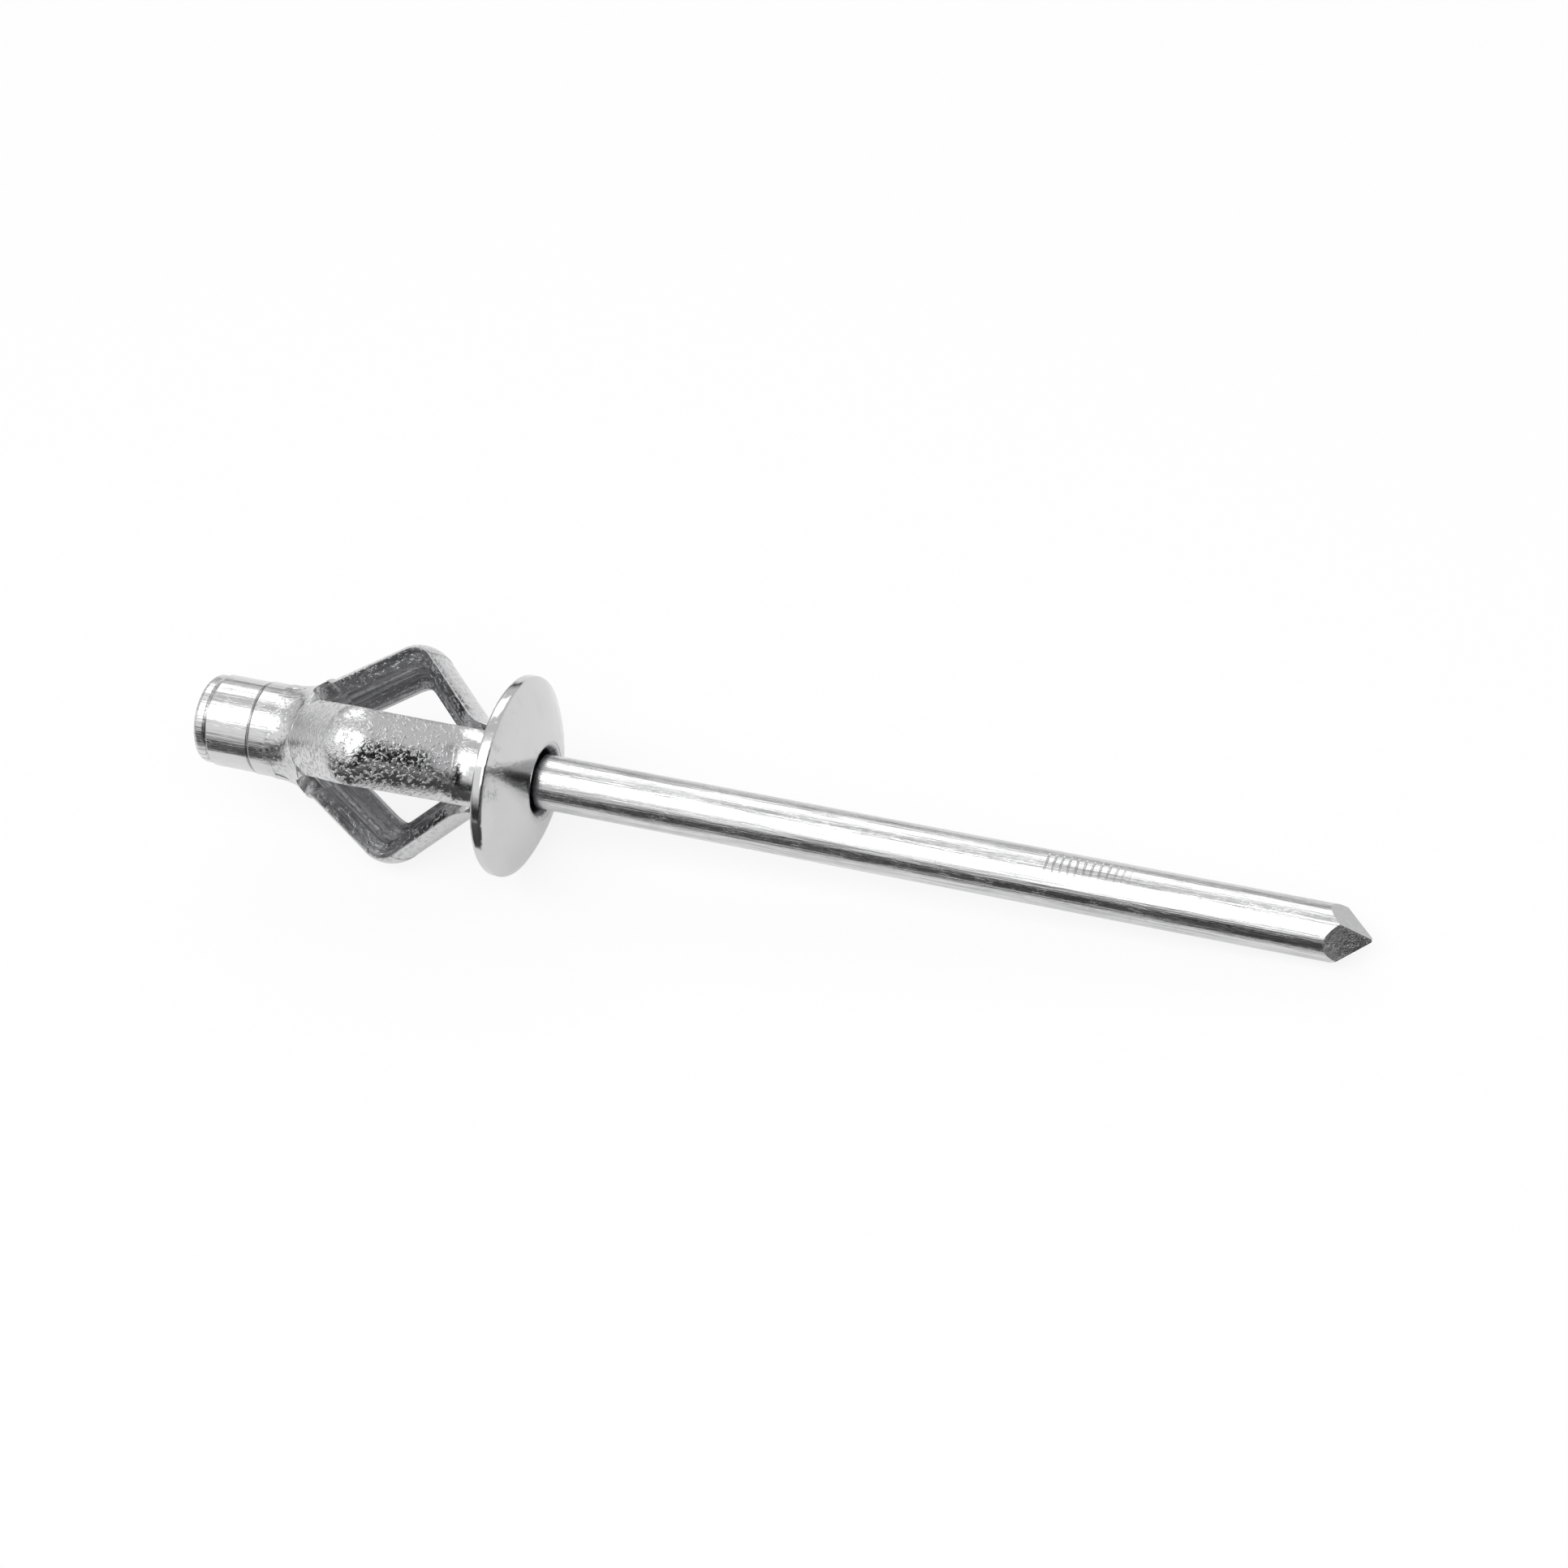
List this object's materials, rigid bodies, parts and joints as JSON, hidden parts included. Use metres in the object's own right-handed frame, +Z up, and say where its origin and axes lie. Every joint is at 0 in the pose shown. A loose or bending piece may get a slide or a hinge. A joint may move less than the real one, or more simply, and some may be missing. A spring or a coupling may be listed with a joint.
{
  "type": "tri-fold blind rivet",
  "caption": "Set blind rivet with a domed head, folded legs, a crimped tail and its pointed mandrel still in place.",
  "frame": {"origin": "centre of the head's bearing face, on the rivet's axis", "axes": "+Z up as the rivet lies on a floor; +X along the stem towards its tip, seen from above, with the axis sloping down by 5.2 degrees; +Y completes the frame"},
  "size_m": [0.0591, 0.011, 0.0111],
  "materials": {
    "body_metal": "polished",
    "mandrel_metal": "bright drawn"
  },
  "bodies": {
    "root": {"rivet_body": "body_metal", "mandrel": "mandrel_metal"}
  },
  "joints": []
}
